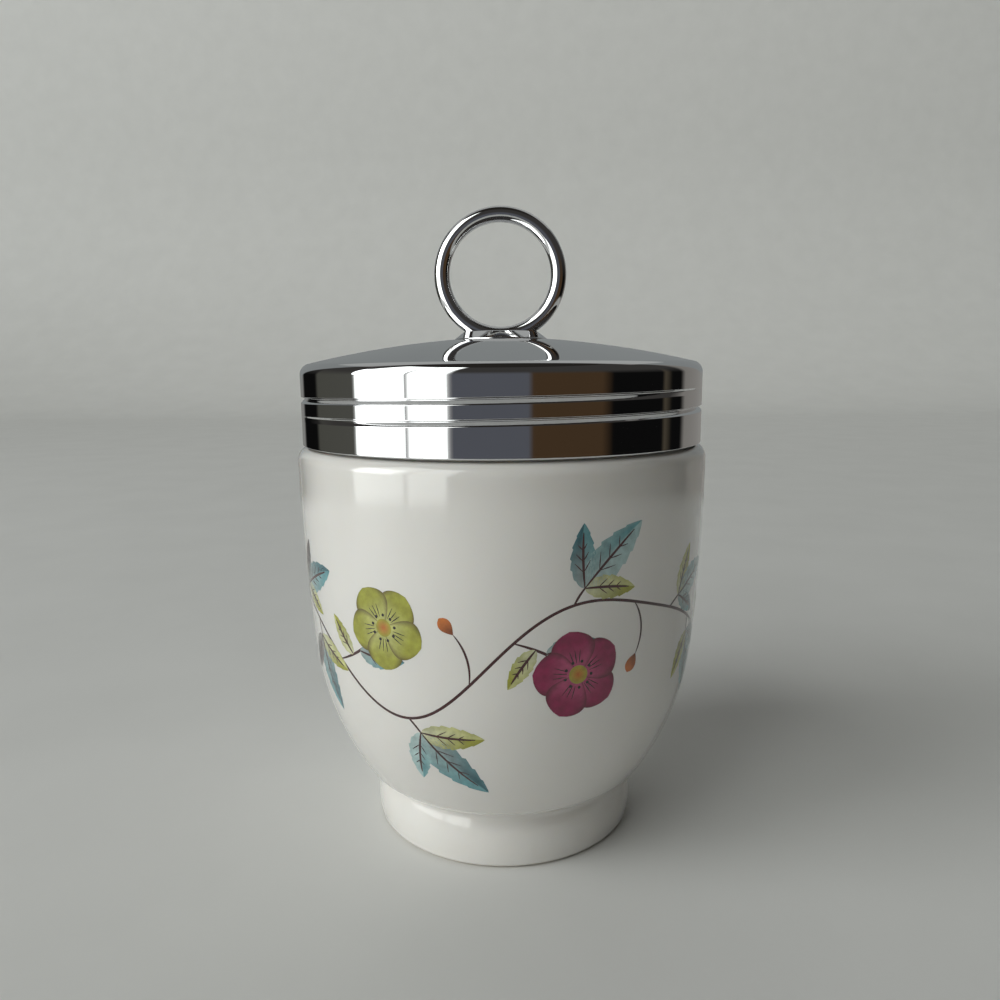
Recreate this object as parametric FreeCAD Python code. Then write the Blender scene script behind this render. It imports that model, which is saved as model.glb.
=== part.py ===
import FreeCAD, Part
import math
import os

# Porcelain egg coddler: a footed cup whose thin metal lid screws onto a threaded neck.
# Millimetres. +Z is up, and the origin is the centre of the foot where it stands on the table.
# The front of the object faces -Y. The lifting ring stands in the XZ plane.

# Foot of the cup
foot_height = 8.5           # from the table to the crease under the bowl
foot_r = 19.9               # widest radius of the foot
foot_bulge_height = 3.9     # where the foot is widest
foot_edge = 0.9             # rounding where the foot meets the table
foot_base_inset = 0.2       # how much narrower the foot is just above that rounding
waist_r = 18.3              # radius of the crease
foot_ring_width = 3.6       # thickness of the standing ring
foot_recess = 3.0           # hollow under the cup
floor_thickness = 4.6       # porcelain between that hollow and the inside of the cup

# Bowl of the cup
shoulder_height = 57.3      # flat ledge just under the lid's edge
bowl_r = 29.75              # widest radius, just under the ledge
shoulder_edge = 1.8         # rounding of the ledge's outer corner
belly_height = 28.5         # above this the side is almost straight
side_curve = 296.0          # radius of the long flat curve of the side
belly_curve = 42.0          # radius of the curve that draws the side in
heel_curve = 3.3            # rounding between the bowl's side and its underside
bowl_wall = 3.1
inner_heel_curve = 12.0     # rounding between the wall and the floor inside

# Neck of the cup
neck_r = 27.3               # at the root of the thread
neck_wall = 2.9
neck_fillet = 0.35          # where the neck rises from the ledge
neck_blend = 8.0            # height over which the inside narrows to the neck
neck_blend_end = 0.4        # how far above the ledge that narrowing ends

# Thread, single start and right-handed
thread_lead = 2.5           # rise in one turn
flank_angle = 40.0          # of the thread's sides, from a level plane
neck_thread_depth = 0.9
neck_thread_start = 3.6     # lowest thread centre, above the ledge
neck_thread_end = 1.15      # highest thread centre, below the start of the rim's rounding
neck_thread_fade = 40.0     # degrees over which each end of the thread rises
thread_flank_gap = 0.3      # play between lid and neck, measured up the axis
skirt_gap = 0.3             # between the neck's thread and the lid's skirt

# Lid, drawn from one sheet
sheet = 0.5
lid_edge_gap = 0.3          # between the lid's lower edge and the ledge
rim_gap = 0.3               # between the cup's rim and the inside of the lid
skirt_height = 9.7          # straight part of the lid's side
corner_curve = 1.6          # outside rounding from the side to the top
dome_curve = 137.0          # radius of the shallow dome
dome_rise = 4.85            # from the top of the straight side to the flat in the middle
pad_r = 7.2                 # flat in the middle, under the collar
groove_depth = 0.65         # thread rolled into the skirt from outside
groove_floor = 0.4          # width of the bottom of that groove
groove_start = 3.5          # lowest groove centre, above the lid's edge
groove_end = 2.6            # highest groove centre, below the top of the straight side
groove_front = 4.05         # groove centre at the front, above the lid's edge
groove_fade = 60.0          # degrees over which each end of the groove runs out

# Collar that holds the ring, riveted through the middle of the lid
collar_height = 1.15
collar_base_r = 6.9
collar_top_r = 5.6
collar_bevel = 0.25
shank_r = 3.2
shank_clearance = 0.1       # in the hole through the lid
washer_r = 6.4
washer_thickness = 0.8
washer_clearance = 0.05     # running fit on the shank
washer_play = 0.05          # above and below the washer
rivet_head_r = 4.6
rivet_head_height = 1.2

# Lifting ring, brazed upright into the collar
ring_wire = 2.25            # diameter of its wire
ring_mean_r = 8.48          # to the middle of the wire
ring_sink = 1.5             # how deep the wire sits in the collar
braze_gap = 0.05

# Sizes that follow
shoulder_z = shoulder_height
lid_edge_z = shoulder_z + lid_edge_gap
skirt_top_z = lid_edge_z + skirt_height
pad_z = skirt_top_z + dome_rise
neck_crest_r = neck_r + neck_thread_depth
skirt_in_r = neck_crest_r + skirt_gap
skirt_r = skirt_in_r + sheet
neck_bore_r = neck_r - neck_wall
rim_round = neck_wall / 2
flank = math.tan(math.radians(flank_angle))
ridge_depth = groove_depth
ridge_crest_r = skirt_in_r - ridge_depth
ridge_crest_half = groove_floor / 2 + sheet * (1 / math.cos(math.radians(flank_angle)) - flank)
ridge_half_at_neck_crest = ridge_crest_half + flank * (neck_crest_r - ridge_crest_r)
neck_crest_half = thread_lead / 2 - thread_flank_gap - ridge_half_at_neck_crest
groove_front_z = lid_edge_z + groove_front

FRONT = 270.0               # direction of the front, in degrees from +X
SECTION_STEP = 15.0         # degrees between the sections of a thread
BURIED = 0.05               # how far a thread's end lies inside the wall it fades into
UP = FreeCAD.Vector(0, 0, 1)
AXIS = FreeCAD.Vector(0, 0, 0)


def point(r, z):
    """A point of an outline, in the half plane y = 0."""
    return FreeCAD.Vector(r, 0, z)


def line(a, b):
    return Part.LineSegment(point(*a), point(*b)).toShape()


def arc(a, middle, b):
    return Part.Arc(point(*a), point(*middle), point(*b)).toShape()


def arc_about(centre, radius, a, b):
    """The shorter arc about a centre, from the direction of point a to that of point b."""
    start = math.atan2(a[1] - centre[1], a[0] - centre[0])
    end = math.atan2(b[1] - centre[1], b[0] - centre[0])
    ends = [on_circle(centre, radius, angle) for angle in (start, (start + end) / 2, end)]
    return arc(*ends)


def on_circle(centre, radius, angle):
    return (centre[0] + radius * math.cos(angle), centre[1] + radius * math.sin(angle))


def turned(edges):
    """The solid that a closed outline sweeps in one turn about the Z axis."""
    face = Part.Face(Part.Wire(edges))
    solid = face.revolve(AXIS, UP, 360)
    return Part.Solid(solid.Shells[0]) if solid.ShapeType != "Solid" else solid


def bowl_circles():
    """Centres of the side's long curve and of the belly's curve, which meet at belly_height."""
    top = shoulder_z - shoulder_edge
    lean = math.asin((top - belly_height) / side_curve)
    side_centre = (bowl_r - side_curve, top)
    reach = side_curve - belly_curve
    belly_centre = (side_centre[0] + reach * math.cos(lean), side_centre[1] - reach * math.sin(lean))
    meeting = on_circle(belly_centre, belly_curve, -lean)
    return side_centre, belly_centre, meeting


def heel_centre(belly_centre, belly_radius, heel_radius, floor_z):
    """Centre of the rounding between the belly's curve and a level floor."""
    z = floor_z + heel_radius
    reach = belly_radius - heel_radius
    return (belly_centre[0] + math.sqrt(reach ** 2 - (z - belly_centre[1]) ** 2), z)


def inside_of_cup(rim_z):
    """Edges of the cup's inside, from the middle of the floor up to the rim's rounding."""
    side_centre, belly_centre, meeting = bowl_circles()
    floor_z = foot_recess + floor_thickness
    belly_radius = belly_curve - bowl_wall
    side_radius = side_curve - bowl_wall
    heel = heel_centre(belly_centre, belly_radius, inner_heel_curve, floor_z)
    toward_belly = math.atan2(heel[1] - belly_centre[1], heel[0] - belly_centre[0])
    floor_edge = (heel[0], floor_z)
    heel_top = on_circle(belly_centre, belly_radius, toward_belly)
    toward_meeting = math.atan2(meeting[1] - belly_centre[1], meeting[0] - belly_centre[0])
    belly_top = on_circle(belly_centre, belly_radius, toward_meeting)
    blend_top_z = shoulder_z + neck_blend_end
    blend_foot_z = blend_top_z - neck_blend
    side_top_r = side_centre[0] + math.sqrt(side_radius ** 2 - (blend_foot_z - side_centre[1]) ** 2)
    side_top = (side_top_r, blend_foot_z)
    half_way = ((side_top_r + neck_bore_r) / 2, (blend_foot_z + blend_top_z) / 2)
    narrowing = side_top_r - neck_bore_r
    blend_curve = (narrowing ** 2 + neck_blend ** 2) / (4 * narrowing)
    lower_centre = (side_top_r - blend_curve, blend_foot_z)
    upper_centre = (neck_bore_r + blend_curve, blend_top_z)
    blend_top = (neck_bore_r, blend_top_z)
    lower_blend = arc_about(lower_centre, blend_curve, side_top, half_way)
    upper_blend = arc(half_way, quarter_point(upper_centre, blend_curve, half_way, blend_top), blend_top)
    return [
        line((0, floor_z), floor_edge),
        arc_about(heel, inner_heel_curve, floor_edge, heel_top),
        arc_about(belly_centre, belly_radius, heel_top, belly_top),
        arc_about(side_centre, side_radius, belly_top, side_top),
        lower_blend,
        upper_blend,
        line(blend_top, (neck_bore_r, rim_z - rim_round)),
    ]


def quarter_point(centre, radius, a, b):
    """Middle of the arc about a centre between two of its points, on the side where they are."""
    across = ((a[0] + b[0]) / 2 - centre[0], (a[1] + b[1]) / 2 - centre[1])
    length = math.hypot(*across)
    return (centre[0] + radius * across[0] / length, centre[1] + radius * across[1] / length)


def outside_of_cup(rim_z):
    """Edges of the cup's outside, from the rim down to the middle of the hollow under the foot."""
    side_centre, belly_centre, meeting = bowl_circles()
    straight_top = rim_z - rim_round
    heel = heel_centre(belly_centre, belly_curve, heel_curve, foot_height)
    toward_belly = math.atan2(heel[1] - belly_centre[1], heel[0] - belly_centre[0])
    heel_top = on_circle(belly_centre, belly_curve, toward_belly)
    heel_end = (heel[0], foot_height)
    crease = (waist_r, foot_height)
    corner = (bowl_r - shoulder_edge, shoulder_z)
    corner_end = (bowl_r, shoulder_z - shoulder_edge)
    corner_centre = (corner[0], corner_end[1])
    fillet_top = (neck_r, shoulder_z + neck_fillet)
    fillet_end = (neck_r + neck_fillet, shoulder_z)
    fillet_centre = (fillet_end[0], fillet_top[1])
    bulge = (foot_r, foot_bulge_height)
    base = (foot_r - foot_base_inset, foot_edge)
    stand_outer = (base[0] - foot_edge, 0)
    edge_centre = (stand_outer[0], foot_edge)
    recess_r = foot_r - foot_ring_width
    stand_inner = (recess_r + foot_edge, 0)
    recess_edge = (recess_r, foot_edge)
    inner_edge_centre = (stand_inner[0], foot_edge)
    recess_top = (recess_r, foot_recess)
    return [
        arc((neck_bore_r, straight_top), (neck_bore_r + rim_round, rim_z), (neck_r, straight_top)),
        line((neck_r, straight_top), fillet_top),
        arc(fillet_top, quarter_point(fillet_centre, neck_fillet, fillet_top, fillet_end), fillet_end),
        line(fillet_end, corner),
        arc(corner, quarter_point(corner_centre, shoulder_edge, corner, corner_end), corner_end),
        arc_about(side_centre, side_curve, corner_end, meeting),
        arc_about(belly_centre, belly_curve, meeting, heel_top),
        arc(heel_top, quarter_point(heel, heel_curve, heel_top, heel_end), heel_end),
        line(heel_end, crease),
        arc(crease, bulge, base),
        arc(base, quarter_point(edge_centre, foot_edge, base, stand_outer), stand_outer),
        line(stand_outer, stand_inner),
        arc(stand_inner, quarter_point(inner_edge_centre, foot_edge, stand_inner, recess_edge), recess_edge),
        line(recess_edge, recess_top),
        line(recess_top, (0, foot_recess)),
        line((0, foot_recess), (0, foot_recess + floor_thickness)),
    ]


def dome_centre():
    """Centre of the dome's curve, which runs through the pad's edge and rounds into the side."""
    corner = (skirt_r - corner_curve, skirt_top_z)
    reach = dome_curve - corner_curve
    pad = (pad_r, pad_z)
    between = (corner[0] - pad[0], corner[1] - pad[1])
    gap = math.hypot(*between)
    along = (dome_curve ** 2 - reach ** 2 + gap ** 2) / (2 * gap)
    off = math.sqrt(dome_curve ** 2 - along ** 2)
    unit = (between[0] / gap, between[1] / gap)
    return (pad[0] + along * unit[0] + off * unit[1], pad[1] + along * unit[1] - off * unit[0])


def dome_underside_z(r):
    """Height of the inside of the dome at a radius."""
    centre = dome_centre()
    return centre[1] + math.sqrt((dome_curve - sheet) ** 2 - (r - centre[0]) ** 2)


def thread_band(start_z, end_z, front_z, fade_degrees, crest_r, buried_r, back_r, crest_half):
    """A tapered band along the thread's helix, which sinks into the wall at both its ends.

    crest_r is the radius of its narrow face, buried_r that of the same face at the band's ends,
    and back_r that of its wide face.
    """
    first = (start_z - front_z) / thread_lead * 360
    last = (end_z - front_z) / thread_lead * 360
    count = max(8, math.ceil((last - first) / SECTION_STEP))
    sections = []
    for i in range(count + 1):
        turn = first + (last - first) * i / count
        z = front_z + thread_lead * turn / 360
        from_end = min(turn - first, last - turn, fade_degrees) / fade_degrees
        risen = (1 - math.cos(math.pi * from_end)) / 2
        face_r = buried_r + (crest_r - buried_r) * risen
        back_half = crest_half + flank * abs(back_r - face_r)
        corners = [
            (face_r, z - crest_half),
            (back_r, z - back_half),
            (back_r, z + back_half),
            (face_r, z + crest_half),
        ]
        loop = Part.makePolygon([point(*c) for c in corners + corners[:1]])
        loop.rotate(AXIS, UP, FRONT + turn)
        sections.append(loop)
    return Part.makeLoft(sections, True, False)


def make_cup():
    rim_z = dome_underside_z(neck_r - rim_round) - rim_gap
    cup = turned(inside_of_cup(rim_z) + outside_of_cup(rim_z))
    thread = thread_band(
        shoulder_z + neck_thread_start,
        rim_z - rim_round - neck_thread_end,
        groove_front_z + thread_lead / 2,
        neck_thread_fade,
        neck_crest_r,
        neck_r - BURIED,
        neck_r - neck_wall / 3,
        neck_crest_half,
    )
    return cup.fuse(thread)


def make_lid_shell():
    centre = dome_centre()
    corner = (skirt_r - corner_curve, skirt_top_z)
    toward_corner = math.atan2(corner[1] - centre[1], corner[0] - centre[0])
    hole_r = shank_r + shank_clearance
    outer = {
        "side": (skirt_r, skirt_top_z),
        "dome": on_circle(centre, dome_curve, toward_corner),
        "pad": (pad_r, pad_z),
    }
    inner_curve = dome_curve - sheet
    inner_pad_r = centre[0] + math.sqrt(inner_curve ** 2 - (pad_z - sheet - centre[1]) ** 2)
    inner = {
        "side": (skirt_in_r, skirt_top_z),
        "dome": on_circle(centre, inner_curve, toward_corner),
        "pad": (inner_pad_r, pad_z - sheet),
    }
    shell = turned([
        line((skirt_in_r, lid_edge_z), (skirt_r, lid_edge_z)),
        line((skirt_r, lid_edge_z), outer["side"]),
        arc_about(corner, corner_curve, outer["side"], outer["dome"]),
        arc_about(centre, dome_curve, outer["dome"], outer["pad"]),
        line(outer["pad"], (hole_r, pad_z)),
        line((hole_r, pad_z), (hole_r, pad_z - sheet)),
        line((hole_r, pad_z - sheet), inner["pad"]),
        arc_about(centre, inner_curve, inner["pad"], inner["dome"]),
        arc_about(corner, corner_curve - sheet, inner["dome"], inner["side"]),
        line(inner["side"], (skirt_in_r, lid_edge_z)),
    ])
    run = (lid_edge_z + groove_start, skirt_top_z - groove_end, groove_front_z, groove_fade)
    ridge_back = skirt_in_r + sheet / 2
    ridge = thread_band(*run, ridge_crest_r, skirt_in_r + BURIED, ridge_back, ridge_crest_half)
    groove_bottom = skirt_r - groove_depth
    groove = thread_band(*run, groove_bottom, skirt_r + BURIED, skirt_r + sheet, groove_floor / 2)
    return shell.fuse(ridge).cut(groove)


def ring_torus(wire_radius):
    centre_z = pad_z + collar_height - ring_sink + ring_wire / 2 + ring_mean_r
    return Part.makeTorus(ring_mean_r, wire_radius, FreeCAD.Vector(0, 0, centre_z), FreeCAD.Vector(0, 1, 0))


def make_lifting_ring():
    return ring_torus(ring_wire / 2)


def make_ring_boss():
    """Collar, shank and rivet head in one, with a seat for the ring's wire."""
    collar_top = pad_z + collar_height
    head_z = pad_z - sheet - washer_thickness - 2 * washer_play
    head_middle = (rivet_head_r * 0.7, head_z - rivet_head_height * 0.7)
    boss = turned([
        arc((0, head_z - rivet_head_height), head_middle, (rivet_head_r, head_z)),
        line((rivet_head_r, head_z), (shank_r, head_z)),
        line((shank_r, head_z), (shank_r, pad_z)),
        line((shank_r, pad_z), (collar_base_r, pad_z)),
        line((collar_base_r, pad_z), (collar_top_r, collar_top - collar_bevel)),
        line((collar_top_r, collar_top - collar_bevel), (collar_top_r - collar_bevel, collar_top)),
        line((collar_top_r - collar_bevel, collar_top), (0, collar_top)),
        line((0, collar_top), (0, head_z - rivet_head_height)),
    ])
    return boss.cut(ring_torus(ring_wire / 2 + braze_gap))


def make_backing_washer():
    bore_r = shank_r + washer_clearance
    top_z = pad_z - sheet - washer_play
    foot = FreeCAD.Vector(0, 0, top_z - washer_thickness)
    disc = Part.makeCylinder(washer_r, washer_thickness, foot)
    return disc.cut(Part.makeCylinder(bore_r, washer_thickness, foot))


NODES = {
    "cup": make_cup,
    "lid_shell": make_lid_shell,
    "lifting_ring": make_lifting_ring,
    "ring_boss": make_ring_boss,
    "backing_washer": make_backing_washer,
}

os.makedirs("parts", exist_ok=True)
for name, make in NODES.items():
    shape = make()
    shape.exportStep("parts/" + name + ".step")
    box = shape.BoundBox
    print(name, len(shape.Solids), shape.isValid(), round(shape.Volume, 2), "mm3",
          [round(v, 2) for v in (box.XMin, box.XMax, box.YMin, box.YMax, box.ZMin, box.ZMax)])
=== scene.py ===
import math
import random

import bpy
from mathutils import Matrix, Vector


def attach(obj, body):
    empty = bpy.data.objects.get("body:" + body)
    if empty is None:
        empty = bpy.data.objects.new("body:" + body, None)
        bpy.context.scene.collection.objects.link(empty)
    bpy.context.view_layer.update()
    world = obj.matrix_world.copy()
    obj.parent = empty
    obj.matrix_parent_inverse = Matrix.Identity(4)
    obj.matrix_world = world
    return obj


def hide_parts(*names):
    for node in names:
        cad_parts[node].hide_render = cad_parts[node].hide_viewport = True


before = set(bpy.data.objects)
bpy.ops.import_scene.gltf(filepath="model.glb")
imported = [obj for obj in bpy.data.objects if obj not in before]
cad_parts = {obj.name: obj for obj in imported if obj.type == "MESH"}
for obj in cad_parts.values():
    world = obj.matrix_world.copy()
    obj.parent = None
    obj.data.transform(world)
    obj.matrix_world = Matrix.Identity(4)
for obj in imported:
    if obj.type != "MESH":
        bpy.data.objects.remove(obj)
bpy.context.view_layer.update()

# Porcelain egg coddler, in metres: +Z up, origin under the foot, front towards -Y
MM = 0.001
NEARLY = 0.0001 * MM

# Cup
FOOT_HEIGHT = 8.5 * MM
FOOT_R = 19.9 * MM
FOOT_BULGE_Z = 3.9 * MM
FOOT_EDGE = 0.9 * MM
FOOT_BASE_INSET = 0.2 * MM
WAIST_R = 18.3 * MM
CREASE_CURVE = 1.3 * MM
FOOT_RING_WIDTH = 3.6 * MM
FOOT_RECESS = 3.0 * MM
RECESS_FILLET = 1.2 * MM
FLOOR_THICKNESS = 4.6 * MM
SHOULDER_Z = 57.3 * MM
BOWL_R = 29.75 * MM
SHOULDER_EDGE = 1.8 * MM
BELLY_Z = 28.5 * MM
SIDE_CURVE = 296.0 * MM
BELLY_CURVE = 42.0 * MM
HEEL_CURVE = 3.3 * MM
BOWL_WALL = 3.1 * MM
INNER_HEEL = 12.0 * MM
NECK_R = 27.3 * MM
NECK_WALL = 2.9 * MM
NECK_FILLET = 0.35 * MM
NECK_BLEND = 8.0 * MM
NECK_BLEND_END = 0.4 * MM
NECK_THREAD_DEPTH = 0.9 * MM
NECK_THREAD_START = 3.6 * MM
NECK_THREAD_END = 1.15 * MM
NECK_THREAD_FADE = 40.0

# Lid
THREAD_LEAD = 2.5 * MM
SHEET = 0.5 * MM
SKIRT_GAP = 0.3 * MM
LEDGE_GAP = 0.3 * MM
LID_EDGE_Z = SHOULDER_Z + LEDGE_GAP
RIM_GAP = 0.3 * MM
SKIRT_HEIGHT = 9.7 * MM
SKIRT_TOP_Z = LID_EDGE_Z + SKIRT_HEIGHT
SKIRT_R = NECK_R + NECK_THREAD_DEPTH + SKIRT_GAP + SHEET
CORNER_CURVE = 1.6 * MM
DOME_CURVE = 137.0 * MM
DOME_RISE = 4.85 * MM
PAD_Z = SKIRT_TOP_Z + DOME_RISE
PAD_R = 7.2 * MM
HOLE_R = 3.3 * MM
RIDGE_DEPTH = 0.65 * MM
GROOVE_DEPTH = 0.5 * MM
GROOVE_START = 3.5 * MM
GROOVE_END = 2.6 * MM
GROOVE_FRONT_Z = LID_EDGE_Z + 4.05 * MM
GROOVE_FADE = 60.0
ROLLS_LOW = LID_EDGE_Z + 2.7 * MM
ROLLS_HIGH = SKIRT_TOP_Z - 1.6 * MM
# Each thread's profile: height of its crest over the helix, half of the crest's flat, reach above
# and below the crest, and the share of a flank that is rounded at each end
GROOVE_PROFILE = (0.42 * MM, 0.02 * MM, 0.26 * MM, 0.64 * MM, 0.12)
RIDGE_PROFILE = (0.0, 0.40 * MM, 1.02 * MM, 1.02 * MM, 0.5)
NECK_PROFILE = (0.0, 0.22 * MM, 0.95 * MM, 0.95 * MM, 0.5)
CUT_EDGE = 0.08 * MM

# Collar, rivet and ring
COLLAR_HEIGHT = 1.15 * MM
COLLAR_TOP_Z = PAD_Z + COLLAR_HEIGHT
COLLAR_BASE_R = 6.9 * MM
COLLAR_TOP_R = 5.6 * MM
COLLAR_BEVEL = 0.3 * MM
SHANK_R = 3.2 * MM
WASHER_SPACE = 0.9 * MM
RIVET_TOP_Z = PAD_Z - SHEET - WASHER_SPACE
RIVET_R = 4.6 * MM
RIVET_HEIGHT = 1.2 * MM
WIRE_R = 1.125 * MM
RING_R = 8.48 * MM
RING_SUNK = 1.5 * MM
RING_Z = COLLAR_TOP_Z - RING_SUNK + WIRE_R + RING_R
BRAZE_REACH = 0.55 * MM
BRAZE_RISE = 0.2 * MM
BRAZE_HOLLOW = 2.4

# Direction of the front round the axis, and steps round it
FRONT = math.radians(270)
AROUND = 360
CUP_AROUND = 540


def on_circle(centre, radius, angle):
    return (centre[0] + radius * math.cos(angle), centre[1] + radius * math.sin(angle))


def arc(centre, radius, start, end, count):
    """Points of an arc between two directions, in degrees, both ends included."""
    steps = [math.radians(start + (end - start) * i / count) for i in range(count + 1)]
    return [on_circle(centre, radius, a) for a in steps]


def straight(a, b, count):
    """Points from a to b, without both ends."""
    return [(a[0] + (b[0] - a[0]) * i / count, a[1] + (b[1] - a[1]) * i / count)
            for i in range(1, count)]


def direction(centre, p):
    """Direction from a centre to a point, in degrees."""
    return math.degrees(math.atan2(p[1] - centre[1], p[0] - centre[0]))


def new_piece(name, verts, faces, body, material):
    """A smooth piece that rides on a body."""
    mesh = bpy.data.meshes.new(name)
    mesh.from_pydata(verts, [], faces)
    mesh.validate()
    mesh.update()
    piece = bpy.data.objects.new(name, mesh)
    bpy.context.scene.collection.objects.link(piece)
    mesh.materials.append(material)
    mesh.polygons.foreach_set("use_smooth", [True] * len(mesh.polygons))
    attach(piece, body)
    return piece


def turned(name, outline, body, material, shift=None, around=AROUND):
    """A piece turned about the Z axis from a closed outline. shift(r, z, angle) gives a new radius.

    A point on the axis becomes a single vertex.
    """
    verts = []
    rows = []
    for r, z in outline:
        if r < NEARLY:
            rows.append([len(verts)])
            verts.append((0.0, 0.0, z))
            continue
        rows.append(list(range(len(verts), len(verts) + around)))
        for k in range(around):
            angle = 2 * math.pi * k / around
            radius = shift(r, z, angle) if shift else r
            verts.append((radius * math.cos(angle), radius * math.sin(angle), z))
    faces = []
    closed = [(i, i + 1) for i in range(len(rows) - 1)]
    if len(rows[0]) > 1 or len(rows[-1]) > 1:
        closed.append((len(rows) - 1, 0))
    for i, j in closed:
        a = rows[i]
        b = rows[j]
        for k in range(around):
            n = (k + 1) % around
            if len(a) == 1 and len(b) == 1:
                continue
            if len(a) == 1:
                faces.append((a[0], b[k], b[n]))
            elif len(b) == 1:
                faces.append((a[k], b[0], a[n]))
            else:
                faces.append((a[k], b[k], b[n], a[n]))
    return new_piece(name, verts, faces, body, material)


def flank(t, rounded):
    """Height of a flank from its crest, t = 0, to its foot, t = 1: straight, with rounded ends."""
    if t < rounded:
        return 1 - t * t / (2 * rounded * (1 - rounded))
    if t > 1 - rounded:
        return (1 - t) ** 2 / (2 * rounded * (1 - rounded))
    return 1 - (t - rounded / 2) / (1 - rounded)


def thread_height(z, angle, front_z, start_z, end_z, fade, profile):
    """Height of a thread at a place, from 0 to 1, faded towards its ends."""
    front_turn = math.degrees(angle - FRONT) % 360
    first = (start_z - front_z) / THREAD_LEAD * 360
    last = (end_z - front_z) / THREAD_LEAD * 360
    raised, flat, above, below, rounded = profile
    best = 0.0
    for lap in range(-3, 4):
        turn = front_turn + 360 * lap
        if turn < first or turn > last:
            continue
        off = z - front_z - THREAD_LEAD * turn / 360 - raised
        half = above if off > 0 else below
        off = abs(off)
        if off > half:
            continue
        risen = (1 - math.cos(math.pi * min(turn - first, last - turn, fade) / fade)) / 2
        across = 1.0 if off < flat else flank((off - flat) / (half - flat), rounded)
        best = max(best, risen * across)
    return best


# Materials

# Pairs of colours that a surface wanders between
GLAZE = ((0.775, 0.750, 0.710), (0.815, 0.792, 0.752))
BISCUIT = ((0.62, 0.55, 0.46), (0.74, 0.68, 0.59))
PLATE = ((0.78, 0.78, 0.79), (0.84, 0.84, 0.845))
STEEL = ((0.40, 0.395, 0.385), (0.60, 0.595, 0.585))
WASH = ((0.72, 0.72, 0.72), (1.1, 1.1, 1.1))
FLOOR_TINT = ((0.70, 0.70, 0.68), (0.73, 0.73, 0.71))
# Heights over which the foot's bare biscuit passes into glaze
BARE_BELOW = (0.25 * MM, 0.55 * MM)


def shader(name):
    material = bpy.data.materials.new(name)
    material.use_nodes = True
    tree = material.node_tree
    return material, tree, tree.nodes["Principled BSDF"]


def node(tree, kind, **values):
    made = tree.nodes.new(kind)
    for key, value in values.items():
        if key in made.inputs:
            made.inputs[key].default_value = value
        else:
            setattr(made, key, value)
    return made


def place(tree):
    """Coordinates fixed to the object."""
    return tree.nodes.new("ShaderNodeTexCoord").outputs["Object"]


def noise(tree, scale, detail=3.0, roughness=0.5):
    made = node(tree, "ShaderNodeTexNoise", Scale=scale, Detail=detail, Roughness=roughness)
    tree.links.new(place(tree), made.inputs["Vector"])
    return made.outputs["Fac"]


def ramp(tree, fac, stops):
    made = tree.nodes.new("ShaderNodeValToRGB")
    while len(made.color_ramp.elements) < len(stops):
        made.color_ramp.elements.new(0.5)
    for element, (at, colour) in zip(made.color_ramp.elements, stops):
        element.position = at
        element.color = (*colour, 1.0)
    tree.links.new(fac, made.inputs["Fac"])
    return made.outputs["Color"]


def between(tree, value, low, high, to_low, to_high):
    """Maps a value from one range to another, held at both ends."""
    made = tree.nodes.new("ShaderNodeMapRange")
    made.inputs["From Min"].default_value = low
    made.inputs["From Max"].default_value = high
    made.inputs["To Min"].default_value = to_low
    made.inputs["To Max"].default_value = to_high
    tree.links.new(value, made.inputs["Value"])
    return made.outputs["Result"]


def mixed(tree, fac, a, b, blend="MIX"):
    """Mixes two colours. fac is a number or a socket."""
    made = tree.nodes.new("ShaderNodeMix")
    made.data_type = "RGBA"
    made.blend_type = blend
    if isinstance(fac, float):
        made.inputs["Factor"].default_value = fac
    else:
        tree.links.new(fac, made.inputs["Factor"])
    tree.links.new(a, made.inputs["A"])
    tree.links.new(b, made.inputs["B"])
    return made.outputs["Result"]


def mottled(tree, fac, colours, low=0.3, high=0.7):
    """A colour that wanders between two."""
    return ramp(tree, fac, [(low, colours[0]), (high, colours[1])])


def bumped(tree, surface, height, distance, strength=1.0):
    made = node(tree, "ShaderNodeBump", Strength=strength, Distance=distance)
    tree.links.new(height, made.inputs["Height"])
    tree.links.new(made.outputs["Normal"], surface.inputs["Normal"])


def porcelain():
    """White glaze with a faint waviness, bare biscuit where the foot stands."""
    material, tree, surface = shader("porcelain_glaze")
    tint = mottled(tree, noise(tree, scale=45.0, detail=4.0), GLAZE)
    height = tree.nodes.new("ShaderNodeSeparateXYZ")
    tree.links.new(place(tree), height.inputs[0])
    bare = between(tree, height.outputs["Z"], *BARE_BELOW, 1.0, 0.0)
    grain = noise(tree, scale=2600.0, detail=4.0, roughness=0.7)
    biscuit = mottled(tree, grain, BISCUIT, 0.35, 0.65)
    tree.links.new(mixed(tree, bare, tint, biscuit), surface.inputs["Base Color"])
    soft = between(tree, noise(tree, scale=130.0, detail=2.0), 0.3, 0.7, 0.09, 0.15)
    rough = node(tree, "ShaderNodeMix", data_type="FLOAT")
    tree.links.new(bare, rough.inputs["Factor"])
    tree.links.new(soft, rough.inputs["A"])
    rough.inputs["B"].default_value = 0.75
    tree.links.new(rough.outputs["Result"], surface.inputs["Roughness"])
    surface.inputs["Coat Weight"].default_value = 1.0
    surface.inputs["Coat Roughness"].default_value = 0.02
    surface.inputs["Subsurface Weight"].default_value = 0.12
    surface.inputs["Subsurface Radius"].default_value = (0.004, 0.003, 0.002)
    surface.inputs["Subsurface Scale"].default_value = 1.0
    bumped(tree, surface, noise(tree, scale=70.0, detail=2.0), distance=0.12 * MM, strength=0.1)
    return material


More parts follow.
